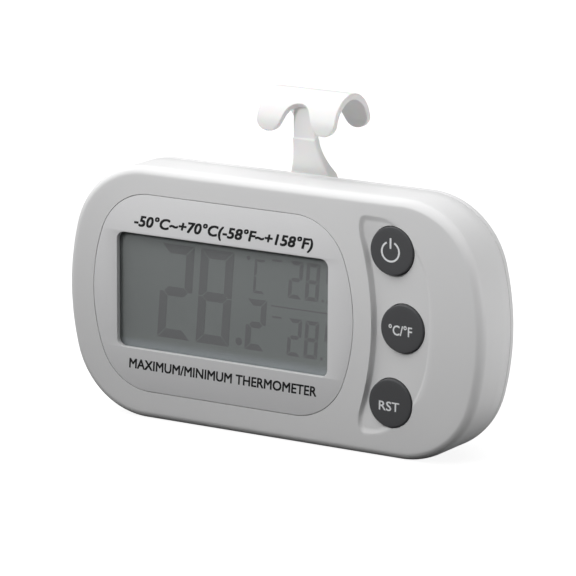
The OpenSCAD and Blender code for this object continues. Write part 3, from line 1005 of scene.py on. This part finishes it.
FILM_TREE, THICK_ID, PAINT_ID = film_tree()
film_low = box_mm("lcd_polarizer")[0]
BAR_FILM = 0.02
FILM_GAP = 0.002
FIGURES_X = -0.2
FIGURES_Z = -0.18
points = []
faces = []
for outline in outlines:
    faces.append(tuple(range(len(points), len(points) + len(outline))))
    points += [place(x + FIGURES_X, film_low.y - FILM_GAP, z + FIGURES_Z) for x, z in outline]
figures = mesh_object("figures", points, faces, SEGMENT_INK, recalc=False)
for face in figures.data.polygons:
    if face.normal.y > 0:
        face.flip()
step = figures.modifiers.new("film", "NODES")
step.node_group = FILM_TREE
step[THICK_ID] = BAR_FILM * MM
step[PAINT_ID] = SEGMENT_INK
figures.update_tag()
bake_modifiers(figures)
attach(figures, "case")
print("display faces:", len(figures.data.polygons))

# %% [markdown]
# ## The hook
# The hook is one moulding: a saddle with four round lobes on a stem, and an arm that widens and
# leans back on its way down to the hinge barrel. The saddle is drawn as a flat sheet, whose edge
# is a wave of half circles, and then bent over the crest. A voxel remesh fuses the solids and
# rounds their inside corners as a mould does.

# %% Saddle sheet
hook_low, hook_high = box_mm("hook")
SADDLE_HALF = (hook_high.x - hook_low.x) / 2
SADDLE_TOP = hook_high.z
SADDLE_T = 1.2
SADDLE_R = 6.4
SADDLE_Y = 14.5
LOBE_R = 2.45
LOBE_X = SADDLE_HALF - LOBE_R
LOBE_RUN = 10.95
ARCH_RUN = 5.2
WAVE = 0.4


def sheet_columns(steps=24):
    """(x, run) pairs: a place along the crest and the sheet's run down from it to the edge."""
    half = []
    for k in range(steps + 1):
        turn = math.pi * k / steps
        x = LOBE_X * turn / math.pi + WAVE * math.sin(2 * turn)
        half.append((x, (LOBE_RUN + ARCH_RUN) / 2 - (LOBE_RUN - ARCH_RUN) / 2 * math.cos(turn)))
    for k in range(1, steps // 2 + 1):
        turn = math.pi * k / steps
        half.append((LOBE_X + LOBE_R * math.sin(turn), LOBE_RUN - LOBE_R * (1 - math.cos(turn))))
    return [(-x, run) for x, run in reversed(half[1:])] + half


def bent(run, radius):
    """(sideways, height) at a signed run down the sheet from the crest."""
    quarter = math.pi / 2 * radius
    side = math.copysign(1, run)
    run = abs(run)
    if run < quarter:
        return side * radius * math.sin(run / radius), radius * math.cos(run / radius)
    return side * radius, quarter - run


def saddle_sheet(rows=48):
    points = []
    faces = []
    columns = sheet_columns()
    rim = SADDLE_T / 2
    middle_r = SADDLE_R - rim
    crest = SADDLE_TOP - SADDLE_R
    for x, run in columns:
        far = run * middle_r / SADDLE_R - 0.1
        for j in range(rows + 1):
            dy, dz = bent(far * (2 * j / rows - 1), middle_r)
            points.append(place(x * (1 - 0.1 / SADDLE_HALF), SADDLE_Y + dy, crest + dz))
    for i in range(len(columns) - 1):
        for j in range(rows):
            a = i * (rows + 1) + j
            faces.append((a, a + 1, a + rows + 2, a + rows + 1))
    return mesh_object("saddle", points, faces, HOOK_PLASTIC)


saddle = saddle_sheet()
thicken = saddle.modifiers.new("thickness", "SOLIDIFY")
thicken.thickness = SADDLE_T * MM
thicken.offset = 0
bake_modifiers(saddle)
print("saddle faces:", len(saddle.data.polygons))

# %% [markdown]
# The arm's sections are rounded rectangles. Their width follows the flare, their place follows
# the lean, and a small step marks where the thicker lower arm begins.

# %% Stem, arm and barrel
ARM_TOP = 29.1
STEM_X = 2.45
STEM_Y = 11.2
STEM_T = 1.5
BARREL_R = 1.7
BARREL_X = 6.5


def section(half_w, y0, y1, z, radius=0.4):
    outline = rounded_rect(0, (y0 + y1) / 2, half_w, (y1 - y0) / 2, radius, 5)
    return [place(x, y, z) for x, y in outline]


def arm_section(z):
    t = (ARM_TOP - z) / (ARM_TOP - hinge_at.z)
    lean = min(1.0, t * 1.7)
    return section(STEM_X + min(2.4, 3.5 * t ** 1.6), STEM_Y - 0.1 + 2.0 * lean,
                   STEM_Y + STEM_T + 0.1 + 3.5 * lean ** 1.6, z)


stem = loft("stem", [section(STEM_X - 0.1, STEM_Y + 0.1, STEM_Y + STEM_T, z)
                     for z in (SADDLE_TOP - 1.9, 33, ARM_TOP - 0.3)], HOOK_PLASTIC)
steps = 26
arm = loft("arm", [arm_section(ARM_TOP - (ARM_TOP - hinge_at.z) * k / steps)
                   for k in range(steps + 1)], HOOK_PLASTIC)
barrel_profile = [(BARREL_R - 0.4, -BARREL_X), (BARREL_R, -BARREL_X + 0.4),
                  (BARREL_R, BARREL_X - 0.4), (BARREL_R - 0.4, BARREL_X)]
barrel_rings = []
for radius, x in barrel_profile:
    barrel_rings.append([place(x, hinge_at.y + a, hinge_at.z + b)
                         for a, b in arc(0, 0, radius, 0, 354, 59)])
barrel = loft("barrel", barrel_rings, HOOK_PLASTIC)
print("arm faces:", len(arm.data.polygons))

# %% Fuse the hook
VOXEL = 0.15 * MM
hook = saddle
hook.name = "saddle_hook"
for other in (stem, arm, barrel):
    joined = bmesh.new()
    joined.from_mesh(hook.data)
    joined.from_mesh(other.data)
    joined.to_mesh(hook.data)
    joined.free()
    bpy.data.objects.remove(other)
fuse = hook.modifiers.new("fuse", "REMESH")
fuse.mode = "VOXEL"
fuse.voxel_size = VOXEL
soften = hook.modifiers.new("soften", "SMOOTH")
soften.factor = 0.5
soften.iterations = 3
bake_modifiers(hook)
bore_rings = [[place(x, hinge_at.y + a, hinge_at.z + b) for a, b in arc(0, 0, 1.05, 0, 354, 59)]
              for x in (-20, 20)]
cut(hook, [loft("bore", bore_rings, HOOK_PLASTIC)])
shade(hook, math.radians(50))
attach(hook, "hanger")
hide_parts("hook")
print("hook faces:", len(hook.data.polygons))

# %% [markdown]
# ## The battery door
# A round door with a coin slot. It is lathed with a rounded rim, three lugs are united with it to
# run in the cover's groove, and the slot is cut with a block.

# %% Door
door_low, door_high = box_mm("battery_door")
DOOR_FRONT = door_high.y
LID_R = 11.4
LID_EDGE = 0.4
rim_arc = [(LID_R - LID_EDGE + LID_EDGE * math.cos(a),
            DOOR_FRONT - LID_EDGE + LID_EDGE * math.sin(a))
           for a in [math.pi / 2 * k / 6 for k in range(7)]]
door = lathe("coin_door", cell.x, 0, [(0.01, door_low.y), (LID_R, door_low.y)] + rim_arc
             + [(0.01, DOOR_FRONT)], CASE_PLASTIC, 128)
lugs = [spoke(angle, LUG_R - 0.05, 2.4, LUG_Y, LUG_Y + LUG_T) for angle in LUGS]
cut(door, lugs, "UNION")
slot_tool = soft_block(cell.x - 7, cell.x + 7, DOOR_FRONT - 1.2, DOOR_FRONT + 2, -0.9, 0.9, 0.85)
cut(door, [slot_tool])
shade(door)
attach(door, "door")
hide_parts("battery_door")
print("door faces:", len(door.data.polygons))

# %% [markdown]
# ## Case screws
# The four screws are alike, so a Geometry Nodes tree builds one, with a flat head, a cross
# recess and a shank, and sets it on the four seats.

# %% Screw tree
def screw_tree():
    tree = bpy.data.node_groups.new("Screw set", "GeometryNodeTree")
    face = tree.interface
    face.new_socket(name="Geometry", in_out="INPUT", socket_type="NodeSocketGeometry")
    wanted = {}
    for label in ("Head Radius", "Head Height", "Shank Radius", "Shank Length", "Recess"):
        wanted[label] = face.new_socket(name=label, in_out="INPUT", socket_type="NodeSocketFloat")
    wanted["Material"] = face.new_socket(name="Material", in_out="INPUT",
                                         socket_type="NodeSocketMaterial")
    face.new_socket(name="Geometry", in_out="OUTPUT", socket_type="NodeSocketGeometry")
    start = tree.nodes.new("NodeGroupInput")
    end = tree.nodes.new("NodeGroupOutput")
    link = linker(tree)

    def times(label, factor):
        made = node(tree, "ShaderNodeMath", operation="MULTIPLY")
        made.inputs[1].default_value = factor
        link(start, label, made, 0)
        return made

    head = node(tree, "GeometryNodeMeshCylinder", fill_type="NGON", Vertices=40)
    link(start, "Head Radius", head, "Radius")
    link(start, "Head Height", head, "Depth")
    shank = node(tree, "GeometryNodeMeshCylinder", fill_type="NGON", Vertices=24)
    link(start, "Shank Radius", shank, "Radius")
    link(start, "Shank Length", shank, "Depth")
    down = times("Shank Length", -0.5)
    drop = node(tree, "ShaderNodeCombineXYZ")
    lower = node(tree, "GeometryNodeTransform")
    link(down, "Value", drop, "Z")
    link(shank, "Mesh", lower, "Geometry")
    link(drop, "Vector", lower, "Translation")
    both = node(tree, "GeometryNodeMeshBoolean", operation="UNION", solver="EXACT")
    link(head, "Mesh", both, 1)
    link(lower, "Geometry", both, 1)
    carve = node(tree, "GeometryNodeMeshBoolean", operation="DIFFERENCE", solver="EXACT")
    link(both, "Mesh", carve, 0)
    for wide, tall in ((1.3, 0.32), (0.32, 1.3)):
        arm_box = node(tree, "GeometryNodeMeshCube")
        sized = node(tree, "ShaderNodeCombineXYZ")
        across = times("Head Radius", wide)
        along = times("Head Radius", tall)
        lift = node(tree, "GeometryNodeTransform")
        raised = node(tree, "ShaderNodeCombineXYZ")
        half = times("Head Height", 0.5)
        link(across, "Value", sized, "X")
        link(along, "Value", sized, "Y")
        link(start, "Recess", sized, "Z")
        link(sized, "Vector", arm_box, "Size")
        link(half, "Value", raised, "Z")
        link(arm_box, "Mesh", lift, "Geometry")
        link(raised, "Vector", lift, "Translation")
        link(lift, "Geometry", carve, 1)
    setter = node(tree, "GeometryNodeInstanceOnPoints", Rotation=(-math.pi / 2, 0, 0))
    solid = node(tree, "GeometryNodeRealizeInstances")
    coat = node(tree, "GeometryNodeSetMaterial")
    link(start, "Geometry", setter, "Points")
    link(carve, "Mesh", setter, "Instance")
    link(setter, "Instances", solid, "Geometry")
    link(solid, "Geometry", coat, "Geometry")
    link(start, "Material", coat, "Material")
    link(coat, "Geometry", end, "Geometry")
    return tree, {label: made.identifier for label, made in wanted.items()}


SCREW_TREE, SCREW_IDS = screw_tree()
HEAD_T = 1.4
seats = bpy.data.meshes.new("case_screw_set")
seats.from_pydata([tuple(place(x, SEAT_Y + HEAD_T / 2, z)) for x, z in SCREWS], [], [])
screws = add_object("case_screw_set", seats)
step = screws.modifiers.new("screws", "NODES")
step.node_group = SCREW_TREE
for label, value in (("Head Radius", SCREW_R), ("Head Height", HEAD_T), ("Shank Radius", 0.97),
                     ("Shank Length", 8.4), ("Recess", 1.6)):
    step[SCREW_IDS[label]] = value * MM
step[SCREW_IDS["Material"]] = STEEL
screws.update_tag()
bake_modifiers(screws)
shade(screws)
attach(screws, "case")
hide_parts("case_screws")
print("screw faces:", len(screws.data.polygons))

# %% [markdown]
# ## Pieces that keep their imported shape
# The plates of the display, the board and what it carries, the cell, its contacts, the seals and
# the magnets already have the right shape. They only take their finishes.

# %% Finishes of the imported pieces
KEPT = {
    CLEAR: ["window_lens"], DISPLAY_FILM: ["lcd_polarizer"],
    DISPLAY_GLASS: ["lcd_front_glass", "lcd_rear_glass"],
    HOLDER_PLASTIC: ["lcd_holder"], NICKEL: ["lcd_reflector", "magnets", "crystal"],
    SEAL_RUBBER: ["zebra_strip", "case_gasket", "door_seal", "keypad_web"],
    BOARD: ["circuit_board"], EPOXY: ["chip_blob", "chip_parts", "thermistor"],
    CARBON: ["pill_power", "pill_units", "pill_reset"],
    GOLD: ["key_pads", "contact_plus", "contact_minus"],
    STEEL: ["coin_cell", "board_screws", "hook_pin"],
}
for material, names in KEPT.items():
    for name in names:
        mesh = frame["nodes"][name].data
        mesh.materials.clear()
        mesh.materials.append(material)
print("packed pieces finished:", sum(len(names) for names in KEPT.values()))

# %% [markdown]
# ## Stage and light
# A pale floor and a bright surround, as in a light tent. The surround is brightest above and a
# little to the left, and dark below, so the top of the case is nearly white and the front is a
# light grey that falls off downwards. A wide panel far to the right lights the side, and a faint
# strip hangs close in front. A spot that is aimed above the case lights the front, with the edge of
# its cone low on the case. The floor looks white to the camera but returns little light, except to
# the right of the case and behind it.

# %% Floor
def floor_finish():
    made = bpy.data.materials.new("floor")
    made.use_nodes = True
    tree = made.node_tree
    shader = tree.nodes["Principled BSDF"]
    shader.inputs["Roughness"].default_value = 0.9
    shader.inputs["Specular IOR Level"].default_value = 0.0
    shader.inputs["Emission Strength"].default_value = 1.0
    link = linker(tree)
    path = node(tree, "ShaderNodeLightPath")
    where = node(tree, "ShaderNodeTexCoord")
    side = node(tree, "ShaderNodeVectorMath", operation="DOT_PRODUCT")
    side.inputs[1].default_value = (1, 1, 0)
    pale = node(tree, "ShaderNodeMapRange", interpolation_type="SMOOTHSTEP", From_Min=0.035,
                From_Max=0.08, To_Min=0.06, To_Max=0.7)
    tone = node(tree, "ShaderNodeMix", data_type="RGBA")
    tone.inputs[7].default_value = (0.25, 0.25, 0.25, 1)
    link(where, "Object", side, 0)
    link(side, "Value", pale, "Value")
    link(pale, "Result", tone, 6)
    lift = node(tree, "ShaderNodeMix", data_type="RGBA")
    lift.inputs[6].default_value = (0, 0, 0, 1)
    lift.inputs[7].default_value = (0.9, 0.9, 0.9, 1)
    link(path, "Is Camera Ray", tone, "Factor")
    link(path, "Is Camera Ray", lift, "Factor")
    link(tone, 2, shader, "Base Color")
    link(lift, 2, shader, "Emission Color")
    return made


FLOOR_HALF = 4.0
floor = mesh_object("floor", [(-FLOOR_HALF, -FLOOR_HALF, 0), (FLOOR_HALF, -FLOOR_HALF, 0),
                              (FLOOR_HALF, FLOOR_HALF, 0), (-FLOOR_HALF, FLOOR_HALF, 0)],
                    [(0, 1, 2, 3)], floor_finish(), recalc=False)
print("floor side, m:", 2 * FLOOR_HALF)

# %% Surround and lamps
def surround():
    world = bpy.data.worlds.new("tent")
    bpy.context.scene.world = world
    world.use_nodes = True
    tree = world.node_tree
    glow = tree.nodes["Background"]
    glow.inputs["Color"].default_value = (1, 1, 1, 1)
    where = node(tree, "ShaderNodeTexCoord")
    toward = node(tree, "ShaderNodeVectorMath", operation="DOT_PRODUCT")
    toward.inputs[1].default_value = (-0.42, 0, 0.91)
    rise = node(tree, "ShaderNodeMapRange", interpolation_type="SMOOTHSTEP", From_Min=0.2,
                To_Min=0.05, To_Max=1.75)
    path = node(tree, "ShaderNodeLightPath")
    seen = node(tree, "ShaderNodeMix", data_type="FLOAT")
    seen.inputs[3].default_value = 1.0
    link = linker(tree)
    link(where, "Generated", toward, 0)
    link(toward, "Value", rise, "Value")
    link(path, "Is Camera Ray", seen, "Factor")
    link(rise, "Result", seen, 2)
    link(seen, 0, glow, "Strength")


def set_light(light, at, target):
    made = add_object(light.name, light)
    made.location = at
    made.rotation_mode = "QUATERNION"
    made.rotation_quaternion = (Vector(target) - Vector(at)).to_track_quat("-Z", "Y")
    made.visible_camera = False


def panel_light(name, at, target, wide, tall, power):
    light = bpy.data.lights.new(name, "AREA")
    light.shape = "RECTANGLE"
    light.size = wide
    light.size_y = tall
    light.energy = power
    set_light(light, at, target)


def spot_light(name, at, target, power):
    light = bpy.data.lights.new(name, "SPOT")
    light.energy = power
    light.spot_size = math.radians(40)
    light.spot_blend = 0.16
    light.shadow_soft_size = 0.04
    set_light(light, at, target)


surround()
panel_light("near strip", (-0.01, -0.06, 0.1), (0, 0, 0.02), 0.14, 0.03, 0.01)
panel_light("side", (0.45, 0.12, 0.055), (0, 0, 0.02), 0.3, 0.1, 0.5)
spot_light("front spot", (-0.12, -0.4, 0.25), (0, -0.01, 0.159), 3.0)
bpy.context.scene.view_settings.view_transform = "Standard"
print("lamps set")

# %% [markdown]
# ## Camera
# A long lens looks at the case from its right front, slightly from above, and the thermometer
# stands a little left of and below the middle of the picture.

# %% Camera
AZIMUTH = math.radians(31.956)
ELEVATION = math.radians(12.72)
ROLL = math.radians(0.314)
DISTANCE = 735.6
RIGHTWARD = 3.3
UPWARD = 4.23
LENS = 261.6

back = Vector((math.sin(AZIMUTH) * math.cos(ELEVATION), -math.cos(AZIMUTH) * math.cos(ELEVATION),
               math.sin(ELEVATION)))
right = Vector((math.cos(AZIMUTH), math.sin(AZIMUTH), 0))
up = back.cross(right)
aim = right * RIGHTWARD + up * UPWARD
camera_data = bpy.data.cameras.new("camera")
camera_data.lens = LENS
camera_data.clip_start = 0.01
camera_data.clip_end = 20
camera = add_object("camera", camera_data)
turned_right = right * math.cos(ROLL) + up * math.sin(ROLL)
turned_up = up * math.cos(ROLL) - right * math.sin(ROLL)
pose = Matrix((turned_right, turned_up, back)).transposed().to_4x4()
pose.translation = place(*(aim + back * DISTANCE))
camera.matrix_world = pose
bpy.context.scene.camera = camera
print("camera at, m:", tuple(round(v, 3) for v in camera.location))
